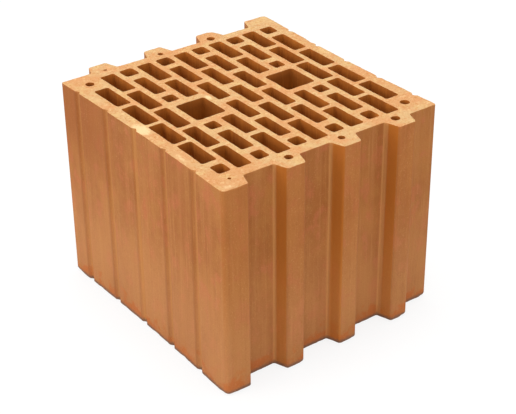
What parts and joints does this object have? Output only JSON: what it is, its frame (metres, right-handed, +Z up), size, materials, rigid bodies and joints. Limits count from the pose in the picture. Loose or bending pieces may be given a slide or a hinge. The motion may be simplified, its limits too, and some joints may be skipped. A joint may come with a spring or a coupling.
{
  "type": "hollow clay block",
  "caption": "Upright hollow fired-clay wall block with keyed tongue-and-recess ends, slot cores in staggered rows and grip holes.",
  "frame": {"origin": "middle of the bed face that the block stands on", "axes": "+Z up along the cores, X across the wall between the plain faces, Y along the wall between the keyed ends"},
  "size_m": [0.261, 0.29, 0.219],
  "materials": {
    "fired_clay": "unglazed fired clay, matte, brown-orange drawn sides and a lighter sandy cut face"
  },
  "bodies": {
    "root": {"hollow_block": "fired_clay"}
  },
  "joints": []
}
